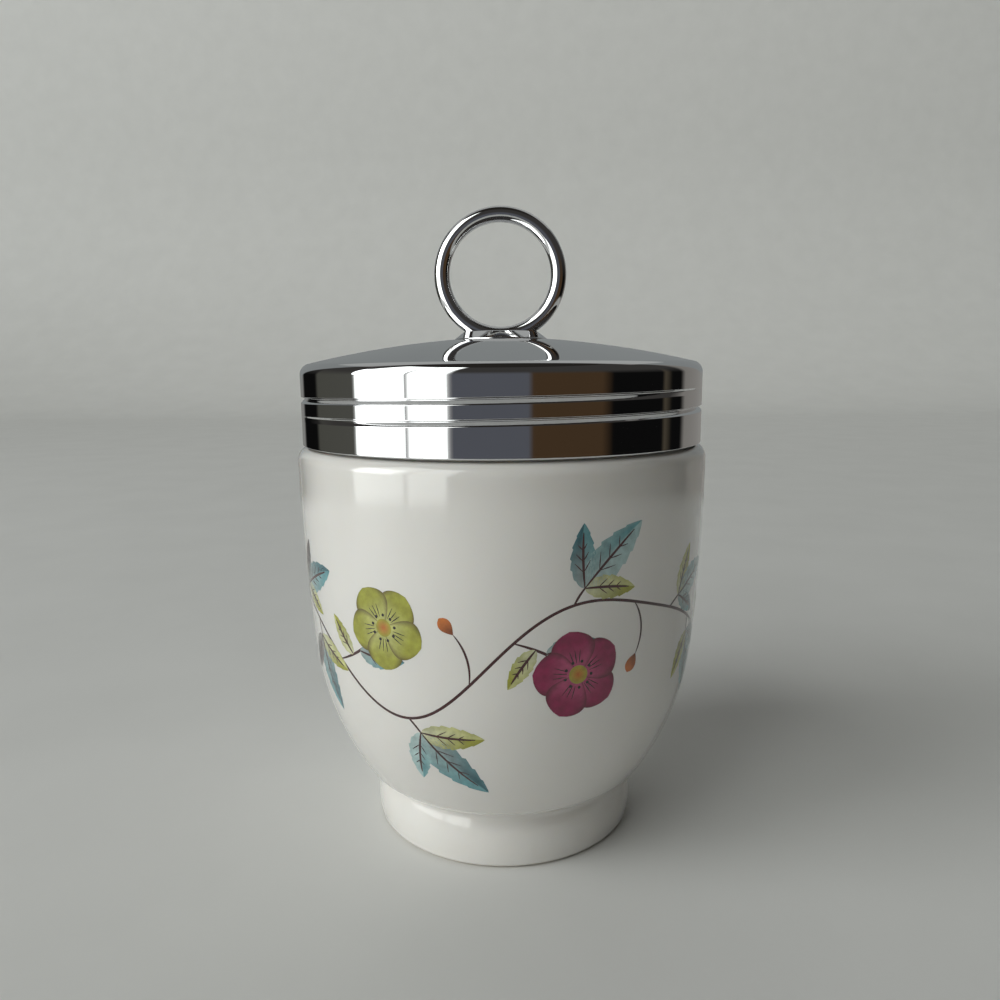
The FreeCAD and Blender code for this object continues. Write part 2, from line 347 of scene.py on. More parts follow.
def chrome(name, waviness):
    """Mirror plate with faint waves of the drawn sheet and a polishing haze."""
    material, tree, surface = shader(name)
    tint = mottled(tree, noise(tree, scale=60.0, detail=3.0), PLATE)
    tree.links.new(tint, surface.inputs["Base Color"])
    surface.inputs["Metallic"].default_value = 1.0
    patches = noise(tree, scale=220.0, detail=5.0, roughness=0.65)
    haze = between(tree, patches, 0.35, 0.75, 0.012, 0.055)
    tree.links.new(haze, surface.inputs["Roughness"])
    bumped(tree, surface, noise(tree, scale=70.0, detail=2.0), waviness)
    return material


def washer_steel():
    """Plain stamped steel with a fine grain."""
    material, tree, surface = shader("washer_steel")
    grain = noise(tree, scale=3500.0, detail=4.0, roughness=0.7)
    tree.links.new(mottled(tree, grain, STEEL), surface.inputs["Base Color"])
    surface.inputs["Metallic"].default_value = 1.0
    tree.links.new(between(tree, grain, 0.3, 0.7, 0.28, 0.45), surface.inputs["Roughness"])
    bumped(tree, surface, grain, distance=0.03 * MM)
    return material


def enamel(name):
    """Printed colour, read from the mesh, with the uneven wash of a transfer under its gloss."""
    material, tree, surface = shader(name)
    painted = node(tree, "ShaderNodeVertexColor", layer_name="print")
    wash = mottled(tree, noise(tree, scale=900.0, detail=4.0, roughness=0.6), WASH)
    colour = mixed(tree, 1.0, painted.outputs["Color"], wash, "MULTIPLY")
    tree.links.new(colour, surface.inputs["Base Color"])
    gloss = between(tree, noise(tree, scale=400.0), 0.3, 0.7, 0.14, 0.24)
    tree.links.new(gloss, surface.inputs["Roughness"])
    surface.inputs["Coat Weight"].default_value = 0.6
    surface.inputs["Coat Roughness"].default_value = 0.04
    return material


# Cup

def bowl_circles():
    """Centres of the side's and the belly's curve, and the lean where they meet, in degrees."""
    top = SHOULDER_Z - SHOULDER_EDGE
    lean = math.asin((top - BELLY_Z) / SIDE_CURVE)
    side = (BOWL_R - SIDE_CURVE, top)
    return side, on_circle(side, SIDE_CURVE - BELLY_CURVE, -lean), math.degrees(lean)


def heel_centre(belly, belly_radius, heel_radius, floor_z):
    """Centre of the curve that rounds the belly into a level floor."""
    z = floor_z + heel_radius
    reach = belly_radius - heel_radius
    return (belly[0] + math.sqrt(reach ** 2 - (z - belly[1]) ** 2), z)


def dome_centre():
    """Centre of the dome's curve, which runs through the pad's edge and rounds into the side."""
    corner = (SKIRT_R - CORNER_CURVE, SKIRT_TOP_Z)
    reach = DOME_CURVE - CORNER_CURVE
    across = (corner[0] - PAD_R, corner[1] - PAD_Z)
    gap = math.hypot(*across)
    along = (DOME_CURVE ** 2 - reach ** 2 + gap ** 2) / (2 * gap)
    off = math.sqrt(DOME_CURVE ** 2 - along ** 2)
    unit = (across[0] / gap, across[1] / gap)
    return (PAD_R + along * unit[0] + off * unit[1], PAD_Z + along * unit[1] - off * unit[0])


def rim_height():
    """Height of the cup's rim, a gap below the lid's dome."""
    crown_r = NECK_R - NECK_WALL / 2
    centre = dome_centre()
    return centre[1] + math.sqrt((DOME_CURVE - SHEET) ** 2 - (crown_r - centre[0]) ** 2) - RIM_GAP


def bowl_radius(z):
    """Outer radius of the bowl at a height."""
    side, belly, _ = bowl_circles()
    centre, radius = (side, SIDE_CURVE) if z > BELLY_Z else (belly, BELLY_CURVE)
    return centre[0] + math.sqrt(radius ** 2 - (z - centre[1]) ** 2)


def cup_outline():
    """Outline of cup and foot, from the middle of the floor inside to the middle underneath."""
    side, belly, lean = bowl_circles()
    rim_z = rim_height()
    rim_round = NECK_WALL / 2
    straight_top = rim_z - rim_round
    bore_r = NECK_R - NECK_WALL
    floor_z = FOOT_RECESS + FLOOR_THICKNESS
    # Inside, from the middle of the floor to the rim
    inner = heel_centre(belly, BELLY_CURVE - BOWL_WALL, INNER_HEEL, floor_z)
    toward = direction(belly, inner)
    blend_top = SHOULDER_Z + NECK_BLEND_END
    blend_foot = blend_top - NECK_BLEND
    side_top_r = side[0] + math.sqrt((SIDE_CURVE - BOWL_WALL) ** 2 - (blend_foot - side[1]) ** 2)
    side_top = direction(side, (side_top_r, blend_foot))
    narrowing = side_top_r - bore_r
    curve = (narrowing ** 2 + NECK_BLEND ** 2) / (4 * narrowing)
    swing = math.degrees(2 * math.atan(narrowing / NECK_BLEND))
    points = [(0.0, floor_z)]
    points += [(inner[0] * i / 6, floor_z) for i in range(1, 6)]
    points += arc(inner, INNER_HEEL, -90, toward, 14)[:-1]
    points += arc(belly, BELLY_CURVE - BOWL_WALL, toward, -lean, 20)[:-1]
    points += arc(side, SIDE_CURVE - BOWL_WALL, -lean, side_top, 14)[:-1]
    points += arc((side_top_r - curve, blend_foot), curve, 0, swing, 8)[:-1]
    points += arc((bore_r + curve, blend_top), curve, 180 + swing, 180, 8)
    points += straight((bore_r, blend_top), (bore_r, straight_top), 6)
    # Rim and neck
    points += arc((bore_r + rim_round, straight_top), rim_round, 180, 0, 16)
    points += straight((NECK_R, straight_top), (NECK_R, SHOULDER_Z + NECK_FILLET), 60)
    points += arc((NECK_R + NECK_FILLET, SHOULDER_Z + NECK_FILLET), NECK_FILLET, 180, 270, 4)
    # Ledge, side, belly and heel
    corner = (BOWL_R - SHOULDER_EDGE, SHOULDER_Z - SHOULDER_EDGE)
    points += arc(corner, SHOULDER_EDGE, 90, 0, 12)[:-1]
    heel = heel_centre(belly, BELLY_CURVE, HEEL_CURVE, FOOT_HEIGHT)
    toward = direction(belly, heel)
    points += arc(side, SIDE_CURVE, 0, -lean, 28)[:-1]
    points += arc(belly, BELLY_CURVE, -lean, toward, 26)[:-1]
    return points + foot_outline(heel, toward)


def beside(a, reach_a, b, reach_b):
    """The place at given distances from two centres, on the side away from the axis."""
    gap = math.dist(a, b)
    along = (reach_a ** 2 - reach_b ** 2 + gap ** 2) / (2 * gap)
    off = math.sqrt(reach_a ** 2 - along ** 2)
    unit = ((b[0] - a[0]) / gap, (b[1] - a[1]) / gap)
    return (a[0] + along * unit[0] - off * unit[1], a[1] + along * unit[1] + off * unit[0])


def foot_outline(heel, heel_start):
    """Heel, crease, foot and the hollow under it."""
    base = (FOOT_R - FOOT_BASE_INSET, FOOT_EDGE)
    bulge, radius = circle_through((WAIST_R, FOOT_HEIGHT), (FOOT_R, FOOT_BULGE_Z), base)
    # The glaze fills the crease: a hollow curve that touches the heel and the foot's bulge.
    crease = beside(heel, HEEL_CURVE + CREASE_CURVE, bulge, radius + CREASE_CURVE)
    recess_r = FOOT_R - FOOT_RING_WIDTH
    points = arc(heel, HEEL_CURVE, heel_start, direction(heel, crease), 20)[:-1]
    points += arc(crease, CREASE_CURVE, direction(crease, heel), 180 + direction(bulge, crease), 12)
    points += arc(bulge, radius, direction(bulge, crease), direction(bulge, base), 20)[1:-1]
    points += arc((base[0] - FOOT_EDGE, FOOT_EDGE), FOOT_EDGE, 0, -90, 10)
    points += arc((recess_r + FOOT_EDGE, FOOT_EDGE), FOOT_EDGE, -90, -180, 8)
    points += arc((recess_r - RECESS_FILLET, FOOT_RECESS - RECESS_FILLET), RECESS_FILLET, 0, 90, 6)
    points += [(recess_r * i / 6, FOOT_RECESS) for i in range(5, 0, -1)]
    points.append((0.0, FOOT_RECESS))
    return points


def circle_through(a, b, c):
    """Centre and radius of the circle through three points."""
    ax, ay = a
    bx, by = b
    cx, cy = c
    d = 2 * (ax * (by - cy) + bx * (cy - ay) + cx * (ay - by))
    aa = ax * ax + ay * ay
    bb = bx * bx + by * by
    cc = cx * cx + cy * cy
    x = (aa * (by - cy) + bb * (cy - ay) + cc * (ay - by)) / d
    y = (aa * (cx - bx) + bb * (ax - cx) + cc * (bx - ax)) / d
    return (x, y), math.hypot(ax - x, ay - y)


def make_cup():
    rim_z = rim_height()
    start = SHOULDER_Z + NECK_THREAD_START
    end = rim_z - NECK_WALL / 2 - NECK_THREAD_END
    front = GROOVE_FRONT_Z + THREAD_LEAD / 2

    def neck_thread(r, z, angle):
        if abs(r - NECK_R) > NEARLY or z < SHOULDER_Z:
            return r
        return r + NECK_THREAD_DEPTH * thread_height(
            z, angle, front, start, end, NECK_THREAD_FADE, NECK_PROFILE)

    cup = turned("cup_porcelain", cup_outline(), "cup",
                 porcelain(), neck_thread, CUP_AROUND)
    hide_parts("cup")


# Lid

def lid_outline():
    """Outline of the sheet: up its outer side to the hole, and back along its inner side."""
    centre = dome_centre()
    corner = (SKIRT_R - CORNER_CURVE, SKIRT_TOP_Z)
    toward = direction(centre, corner)
    pad = direction(centre, (PAD_R, PAD_Z))
    inner_r = SKIRT_R - SHEET
    inner_dome = DOME_CURVE - SHEET
    inner_pad_r = centre[0] + math.sqrt(inner_dome ** 2 - (PAD_Z - SHEET - centre[1]) ** 2)
    inner_pad = direction(centre, (inner_pad_r, PAD_Z - SHEET))
    edge_z = LID_EDGE_Z + CUT_EDGE
    outer = arc((SKIRT_R - CUT_EDGE, edge_z), CUT_EDGE, -90, 0, 4)
    spans = ((edge_z, ROLLS_LOW, 14), (ROLLS_LOW, ROLLS_HIGH, 220), (ROLLS_HIGH, SKIRT_TOP_Z, 12))
    for low, high, count in spans:
        outer += straight((SKIRT_R, low), (SKIRT_R, high), count)
        outer.append((SKIRT_R, high))
    outer += arc(corner, CORNER_CURVE, 0, toward, 20)[1:-1]
    outer += arc(centre, DOME_CURVE, toward, pad, 34)
    outer += straight(outer[-1], (HOLE_R, PAD_Z), 5) + [(HOLE_R, PAD_Z)]
    inner = [(HOLE_R, PAD_Z - SHEET)]
    inner += straight(inner[-1], (inner_pad_r, PAD_Z - SHEET), 5)
    inner += arc(centre, inner_dome, inner_pad, toward, 34)[:-1]
    inner += arc(corner, CORNER_CURVE - SHEET, toward, 0, 10)[:-1]
    inner.append((inner_r, SKIRT_TOP_Z))
    inner += straight((inner_r, SKIRT_TOP_Z), (inner_r, edge_z), 72)
    inner += arc((inner_r + CUT_EDGE, edge_z), CUT_EDGE, 180, 270, 4)
    return outer + inner


def make_lid():
    start = LID_EDGE_Z + GROOVE_START
    end = SKIRT_TOP_Z - GROOVE_END

    def rolled_thread(r, z, angle):
        """The groove outside is a ridge inside."""
        if z > SKIRT_TOP_Z or z < LID_EDGE_Z + CUT_EDGE:
            return r
        outside = abs(r - SKIRT_R) < NEARLY
        depth = GROOVE_DEPTH if outside else RIDGE_DEPTH
        profile = GROOVE_PROFILE if outside else RIDGE_PROFILE
        return r - depth * thread_height(
            z, angle, GROOVE_FRONT_Z, start, end, GROOVE_FADE, profile)

    lid = turned("lid_plated", lid_outline(), "lid",
                 chrome("lid_plate", waviness=0.03 * MM), rolled_thread)
    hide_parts("lid_shell")


# Printed garland: a generic vine with blossoms, leaves and buds, all round the bowl

PRINT_LIFT = 0.004 * MM
PRINT_SKIN = 0.05 * MM
REF_R = 29.3 * MM
GARLAND_SEED = 7
VINE_WAVES = 3
VINE_Z = 33.5 * MM
VINE_SWING = 7.5 * MM
RIPPLE = 0.2
RIPPLE_LAG = 0.8
STROKE = 0.38 * MM
BUD_STROKE = 0.3 * MM
RIB = 0.34 * MM
VEIN = 0.16 * MM
RAY = 0.13 * MM
DOT_R = 0.2 * MM
LEAF_TIP = 0.02 * MM
PETAL_TIP = 0.05 * MM
TEAL = (0.13, 0.34, 0.37)
DEEP_TEAL = (0.035, 0.13, 0.16)
PALE_TEAL = (0.42, 0.60, 0.60)
OLIVE = (0.36, 0.36, 0.045)
PALE_OLIVE = (0.60, 0.60, 0.25)
MAROON = (0.062, 0.014, 0.016)
RASPBERRY = (0.27, 0.009, 0.07)
PINK = (0.58, 0.12, 0.24)
ORANGE = (0.60, 0.17, 0.03)
INK = (0.02, 0.012, 0.012)
LEAF_PALE = (0.75, 0.76, 0.70)
ROSE = (RASPBERRY, PINK)
LIME = (OLIVE, PALE_OLIVE)
BLUE = (TEAL, DEEP_TEAL)
LEAF_SETS = [BLUE, (PALE_TEAL, TEAL), LIME, (INK, MAROON)]
# Layers of print, from the glaze outwards
ON_VINE = 0.4
ON_STALK = 0.6
ON_LEAF = 1.5
ON_BUD = 2.0
ON_VEIN = 3.0
ON_RIB = 3.2
ON_PETAL = 4.0
PETAL_STEP = 0.25
ON_HEART = 5.5
ON_RAY = 6.0
ON_DOT = 6.5


def blend_colour(a, b, t):
    """The colour a share t of the way from a to b."""
    return tuple(p + (q - p) * t for p, q in zip(a, b))


class Transfer:
    """Thin printed shapes on the bowl. Flat places (u, z) are metres round the bowl and up it."""

    def __init__(self):
        self.verts = []
        self.faces = []
        self.colours = []

    def put(self, u, z, colour, lift):
        """Adds a vertex over a flat place."""
        r = bowl_radius(z) + PRINT_LIFT * lift
        angle = FRONT + u / REF_R
        self.verts.append((r * math.cos(angle), r * math.sin(angle), z))
        self.colours.append((*colour, 1.0))

    def grid(self, rows, lift):
        """Adds a patch from rows of (u, z, colour)."""
        first = len(self.verts)
        across = len(rows[0])
        for row in rows:
            for u, z, colour in row:
                self.put(u, z, colour, lift)
        for i in range(len(rows) - 1):
            for k in range(across - 1):
                a = first + i * across + k
                self.faces.append((a, a + across, a + across + 1, a + 1))

    def blade(self, at, heading, length, half, paint, lift, bend, steps, across):
        """A leaf or petal. half(s) is its half width, paint(s, w) its colour along and across."""
        rows = []
        for i in range(steps + 1):
            s = i / steps
            row = []
            for k in range(across + 1):
                w = 2 * k / across - 1
                x = length * s
                y = half(s) * w + bend * length * s * s
                row.append(self.turn(at, heading, x, y) + (paint(s, w),))
            rows.append(row)
        self.grid(rows, lift)

    def turn(self, at, heading, x, y):
        """The flat place x along a heading and y to its left."""
        u = x * math.cos(heading) - y * math.sin(heading)
        z = at[1] + x * math.sin(heading) + y * math.cos(heading)
        return (at[0] + u * REF_R / bowl_radius(z), z)

    def disc(self, at, radius, paint, lift):
        """A round dot or a blossom's heart, coloured from its middle outwards."""
        rings, around = 4, 24
        middle = len(self.verts)
        self.put(*at, paint(0.0), lift)
        for i in range(1, rings + 1):
            for k in range(around):
                a = 2 * math.pi * k / around
                spread = radius * i / rings
                flat = self.turn(at, 0.0, spread * math.cos(a), spread * math.sin(a))
                self.put(*flat, paint(i / rings), lift)
        for k in range(around):
            n = (k + 1) % around
            self.faces.append((middle, middle + 1 + k, middle + 1 + n))
            for i in range(rings - 1):
                a = middle + 1 + i * around
                self.faces.append((a + k, a + around + k, a + around + n, a + n))

    def stroke(self, path, width, colour, lift, taper=0.35):
        """A brushed line through flat places, thinner at its ends."""
        rows = []
        for i, p in enumerate(path):
            a = path[max(0, i - 1)]
            b = path[min(len(path) - 1, i + 1)]
            length = math.hypot(b[0] - a[0], b[1] - a[1])
            s = i / (len(path) - 1)
            reach = width / 2 * (taper + (1 - taper) * math.sin(math.pi * s) ** 0.6)
            nx = -(b[1] - a[1]) / length * reach
            nz = (b[0] - a[0]) / length * reach
            rows.append([(p[0] + nx * w, p[1] + nz * w, colour) for w in (-1, 0, 1)])
        self.grid(rows, lift)

    def piece(self, name, material):
        """Makes the print a piece of its own, with a skin let into the glaze."""
        made = new_piece(name, self.verts, self.faces, "cup", material)
        layer = made.data.color_attributes.new("print", "FLOAT_COLOR", "POINT")
        layer.data.foreach_set("color", [c for colour in self.colours for c in colour])
        used = {}
        for face in self.faces:
            for a, b in zip(face, face[1:] + face[:1]):
                key = (min(a, b), max(a, b))
                used[key] = used.get(key, 0) + 1
        for edge in made.data.edges:
            edge.use_edge_sharp = used[edge.key] == 1
        skin = made.modifiers.new("skin", "SOLIDIFY")
        skin.thickness = PRINT_SKIN
        skin.offset = -1.0


def vine_place(u):
    """Height and heading of the vine at a place round the bowl."""
    rate = VINE_WAVES / REF_R
    twice = 2 * rate * u + RIPPLE_LAG
    z = VINE_Z + VINE_SWING * math.sin(rate * u) + RIPPLE * VINE_SWING * math.sin(twice)
    slope = rate * VINE_SWING * math.cos(rate * u)
    slope += 2 * RIPPLE * rate * VINE_SWING * math.cos(twice)
    return z, math.atan(slope)


def curve_between(start, heading, length, turn, steps=20):
    """A flat path that leaves a place in a direction and turns steadily by an angle."""
    path = [start]
    for i in range(steps):
        a = heading + turn * (i + 0.5) / steps
        u, z = path[-1]
        path.append((u + length / steps * math.cos(a), z + length / steps * math.sin(a)))
    return path, heading + turn


def leaf_width(width, teeth):
    """Half width of a toothed leaf along its length."""
    def half(s):
        body = math.sin(math.pi * min(1.0, s) ** 0.8) ** 0.75 if 0 < s < 1 else 0.0
        tooth = 1.0 - 0.16 * ((s * teeth) % 1.0)
        return max(LEAF_TIP, width / 2 * body * tooth)
    return half


def petal_width(width):
    """Half width of a petal or bud along its length."""
    def half(s):
        if s >= 1:
            return PETAL_TIP
        return max(PETAL_TIP, width / 2 * math.sin(math.pi * s ** 1.35) ** 0.62)
    return half


def leaf(leaves, lines, at, heading, length, colours, bend):
    """A toothed leaf, pale by its stalk and dark at its rim, with a rib and three pairs of veins."""
    low, high = colours
    pale = blend_colour(high, LEAF_PALE, 0.55)

    def paint(s, w):
        body = blend_colour(pale, high if w > 0 else low, min(1.0, 0.15 + 1.1 * s))
        return blend_colour(body, low, 0.7 * max(0.0, abs(w) - 0.5))

    def flat(s, x=0.0, y=0.0):
        return leaves.turn(at, heading, length * s + x, bend * length * s * s + y)

    half = leaf_width(length * 0.44, teeth=6)
    leaves.blade(at, heading, length, half, paint, ON_LEAF, bend, steps=36, across=8)
    lines.stroke([flat(i / 12 * 0.86) for i in range(13)], RIB, MAROON, ON_RIB)
    for s in (0.25, 0.42, 0.59):
        reach = length * 0.15 * (1.1 - s)
        for side in (-1, 1):
            vein = [flat(s, reach * t * 1.3, side * reach * t) for t in (0, 0.5, 1)]
            lines.stroke(vein, VEIN, MAROON, ON_VEIN)


def blossom(petals, lines, at, radius, edge, heart, tilt):
    """Five overlapping petals with dark rims and rays, round a heart with nine dots."""
    def paint(s, w):
        body = blend_colour(heart, edge, min(1.0, 0.15 + 1.2 * s))
        rim = 0.75 * max(0.0, abs(w) - 0.72) / 0.28 * min(1.0, 3.0 * (1.0 - s) + 0.25)
        return blend_colour(body, MAROON, rim)

    half = petal_width(radius * 0.98)
    for k in range(5):
        heading = tilt + 2 * math.pi * k / 5
        petals.blade(at, heading, radius, half, paint, ON_PETAL + PETAL_STEP * k,
                     bend=0.05, steps=22, across=12)
        for swing in (-0.22, 0.0, 0.22):
            ray = [petals.turn(at, heading + swing, radius * t, 0.0) for t in (0.26, 0.4, 0.56)]
            lines.stroke(ray, RAY, INK, ON_RAY)
    petals.disc(at, radius * 0.21, lambda t: blend_colour(ORANGE, OLIVE, t), ON_HEART)
    for k in range(9):
        dot = petals.turn(at, tilt + 2 * math.pi * k / 9, radius * 0.3, 0.0)
        petals.disc(dot, DOT_R, lambda t: INK, ON_DOT)


def sprig(petals, leaves, lines, u, side, length, turn, radius, colours):
    """A blossom on its own curved stalk, with two leaves below it."""
    z, along = vine_place(u)
    path, heading = curve_between((u, z), along + side * 1.0, length, turn)
    lines.stroke(path, STROKE, MAROON, ON_STALK)
    blossom(petals, lines, path[-1], radius, *colours, heading)
    leaf(leaves, lines, path[9], heading - side * 1.0, 7.2 * MM, BLUE, 0.12 * side)
    leaf(leaves, lines, path[6], heading + side * 1.5, 6.0 * MM, LIME, -0.1 * side)


def spray(leaves, lines, u, side, length, rng):
    """Three leaves from one short stalk, the middle one longest."""
    z, along = vine_place(u)
    turn = side * rng.uniform(-0.3, 0.2)
    path, heading = curve_between((u, z), along + side * 0.9, 2.4 * MM, turn, steps=6)
    lines.stroke(path, STROKE * 0.8, MAROON, ON_STALK, taper=0.8)
    sets = rng.sample(LEAF_SETS, 3)
    for swing, share, colours in zip((0.0, 0.85, -0.85), (1.0, 0.72, 0.66), sets):
        leaf(leaves, lines, path[-1], heading + swing, length * share, colours, -0.10 * side)


def tendril(petals, lines, u, side, length, turn):
    """A bud on a thin curved stalk."""
    z, along = vine_place(u)
    path, heading = curve_between((u, z), along + side * 0.6, length, turn, steps=26)
    lines.stroke(path, BUD_STROKE, MAROON, ON_STALK, taper=0.25)

    def paint(s, w):
        return blend_colour(MAROON, ORANGE, min(1.0, 0.2 + s))

    petals.blade(path[-1], heading, 2.6 * MM, petal_width(1.7 * MM), paint, ON_BUD,
                 bend=0.0, steps=10, across=4)


# What each wave of the vine bears: place along the wave and side, then the other measures
SPRIGS = ((0.10, 1, 11.0 * MM, 0.5, 5.6 * MM, LIME), (0.52, -1, 9.5 * MM, -0.5, 5.8 * MM, ROSE))
TENDRILS = ((0.43, 1, 7.0 * MM, 0.9), (0.78, -1, 7.5 * MM, -1.2))
SPRAYS = ((0.0, -1, 10.5 * MM), (0.29, -1, 11.5 * MM), (0.64, 1, 11.0 * MM), (0.90, 1, 10.0 * MM))


def make_garland():
    petals, leaves, lines = Transfer(), Transfer(), Transfer()
    whole = 2 * math.pi * REF_R
    places = [whole * (i / 360 - 0.5) for i in range(361)]
    lines.stroke([(u, vine_place(u)[0]) for u in places], STROKE, MAROON, ON_VINE, taper=1.0)
    rng = random.Random(GARLAND_SEED)
    wave = whole / VINE_WAVES
    for lap in range(VINE_WAVES):
        u = wave * (lap - 0.5 * VINE_WAVES)
        for at, *measures in SPRIGS:
            sprig(petals, leaves, lines, u + at * wave, *measures)
        for at, *measures in TENDRILS:
            tendril(petals, lines, u + at * wave, *measures)
        for at, side, length in SPRAYS:
            spray(leaves, lines, u + at * wave, side, length, rng)
    paint = enamel("print_enamel")
    petals.piece("print_blossoms", paint)
    leaves.piece("print_leaves", paint)
    lines.piece("print_vine", paint)


# Collar and ring

def torus_distance(x, y, z):
    """Distance of a point from the surface of the ring's wire."""
    return math.hypot(math.hypot(x, z - RING_Z) - RING_R, y) - WIRE_R


def make_boss(material):
    """Collar, shank and rivet head, with the braze drawn up round the wire."""
    slope = math.degrees(math.atan2(COLLAR_TOP_Z - PAD_Z, COLLAR_BASE_R - COLLAR_TOP_R))
    rivet_centre, rivet_curve = circle_through(
        (RIVET_R, RIVET_TOP_Z),
        (0.0, RIVET_TOP_Z - RIVET_HEIGHT),
        (-RIVET_R, RIVET_TOP_Z),
    )
    rivet_edge = direction(rivet_centre, (RIVET_R, RIVET_TOP_Z))
    bevel = (COLLAR_TOP_R - COLLAR_BEVEL, COLLAR_TOP_Z - COLLAR_BEVEL)
    outline = [(0.0, RIVET_TOP_Z - RIVET_HEIGHT)]
    outline += arc(rivet_centre, rivet_curve, -90, rivet_edge, 14)[1:]
    outline += [(SHANK_R, RIVET_TOP_Z), (SHANK_R, PAD_Z), (COLLAR_BASE_R, PAD_Z)]
    cone_top = on_circle(bevel, COLLAR_BEVEL, math.radians(90 - slope))
    outline += straight((COLLAR_BASE_R, PAD_Z), cone_top, 6)
    outline += arc(bevel, COLLAR_BEVEL, 90 - slope, 90, 6)
    outline += [(bevel[0] * i / 60, COLLAR_TOP_Z) for i in range(59, 0, -1)]
    outline.append((0.0, COLLAR_TOP_Z))
    boss = turned("ring_collar", outline, "lid", material)
    for v in boss.data.vertices:
        if v.co.z > COLLAR_TOP_Z - NEARLY:
            near = max(0.0, 1 - max(0.0, torus_distance(*v.co)) / BRAZE_REACH)
            v.co.z += BRAZE_RISE * near ** BRAZE_HOLLOW
    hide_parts("ring_boss")


def make_ring(material):
    """Upright ring of round wire."""
    around_ring, around_wire = 200, 40
    verts = []
    for i in range(around_ring):
        a = 2 * math.pi * i / around_ring
        for k in range(around_wire):
            b = 2 * math.pi * k / around_wire
            reach = RING_R + WIRE_R * math.cos(b)
            verts.append((reach * math.sin(a), WIRE_R * math.sin(b), RING_Z + reach * math.cos(a)))
    faces = []
    for i in range(around_ring):
        for k in range(around_wire):
            j = (i + 1) % around_ring
            n = (k + 1) % around_wire
            faces.append((i * around_wire + k, j * around_wire + k,
                          j * around_wire + n, i * around_wire + n))
    ring = new_piece("ring_wire", verts, faces, "lid", material)
    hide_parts("lifting_ring")


make_cup()
make_garland()
make_lid()
ring_plate = chrome("ring_plate", waviness=0.01 * MM)
make_boss(ring_plate)
make_ring(ring_plate)
washer = bpy.data.objects["backing_washer"]
washer.data.materials.clear()
washer.data.materials.append(washer_steel())


# Floor, lights and camera

# Distance from the object over which the floor fades from its mirrors
FLOOR_IN_MIRRORS = (0.28, 0.34)


def make_stage():
    """Pale floor that sweeps up into a backdrop."""
    left, right, front, back, curve, top = -1.8, 3.0, -1.6, 1.0, 0.5, 2.2
    path = [(front, 0.0), (0.3, 0.0)]
    path += [(back + curve * math.sin(a), curve * (1 - math.cos(a)))
             for a in (math.radians(90 * i / 24) for i in range(25))]
    path.append((back + curve, top))
    verts = []
    for y, z in path:
        verts += [(left, y, z), (right, y, z)]
    faces = [(2 * i, 2 * i + 1, 2 * i + 3, 2 * i + 2) for i in range(len(path) - 1)]
    mesh = bpy.data.meshes.new("floor_sweep")
    mesh.from_pydata(verts, [], faces)
    mesh.polygons.foreach_set("use_smooth", [True] * len(faces))
    floor = bpy.data.objects.new("floor_sweep", mesh)
    bpy.context.scene.collection.objects.link(floor)
    material, tree, surface = shader("floor_paper")
    tint = mottled(tree, noise(tree, scale=30.0), FLOOR_TINT)
    tree.links.new(tint, surface.inputs["Base Color"])
    surface.inputs["Roughness"].default_value = 0.55
    # Mirrors see only the floor near the object, and the studio beyond it.
    rays = tree.nodes.new("ShaderNodeLightPath")
    reach = node(tree, "ShaderNodeVectorMath", operation="LENGTH")
    tree.links.new(place(tree), reach.inputs[0])
    hidden = node(tree, "ShaderNodeMath", operation="MULTIPLY")
    tree.links.new(rays.outputs["Is Glossy Ray"], hidden.inputs[0])
    far = between(tree, reach.outputs["Value"], *FLOOR_IN_MIRRORS, 0.0, 1.0)
    tree.links.new(far, hidden.inputs[1])
    open_air = tree.nodes.new("ShaderNodeBsdfTransparent")
    both = tree.nodes.new("ShaderNodeMixShader")
    tree.links.new(hidden.outputs[0], both.inputs[0])
    tree.links.new(surface.outputs[0], both.inputs[1])
    tree.links.new(open_air.outputs[0], both.inputs[2])
    tree.links.new(both.outputs[0], tree.nodes["Material Output"].inputs["Surface"])
    mesh.materials.append(material)


def area(name, at, size, power, colour, aim):
    """A rectangular lamp that looks at a place."""
    lamp = bpy.data.lights.new(name, "AREA")
    lamp.shape = "RECTANGLE"
    lamp.size, lamp.size_y = size
    lamp.energy = power
    lamp.color = colour
    made = bpy.data.objects.new(name, lamp)
    made.location = at
    made.rotation_euler = (Vector(aim) - Vector(at)).to_track_quat("-Z", "Y").to_euler()
    bpy.context.scene.collection.objects.link(made)


def make_lights():
    area("window_left", at=(-0.80, -0.25, 0.40), size=(0.45, 0.5), power=2.0,
         colour=(0.97, 0.99, 1.0), aim=(0.0, 0.0, 0.045))
    area("softbox_top", at=(0.0, 0.85, 1.15), size=(2.0, 1.2), power=1.15,
         colour=(1.0, 0.97, 0.93), aim=(0.0, 0.85, 0.0))
    make_surroundings()


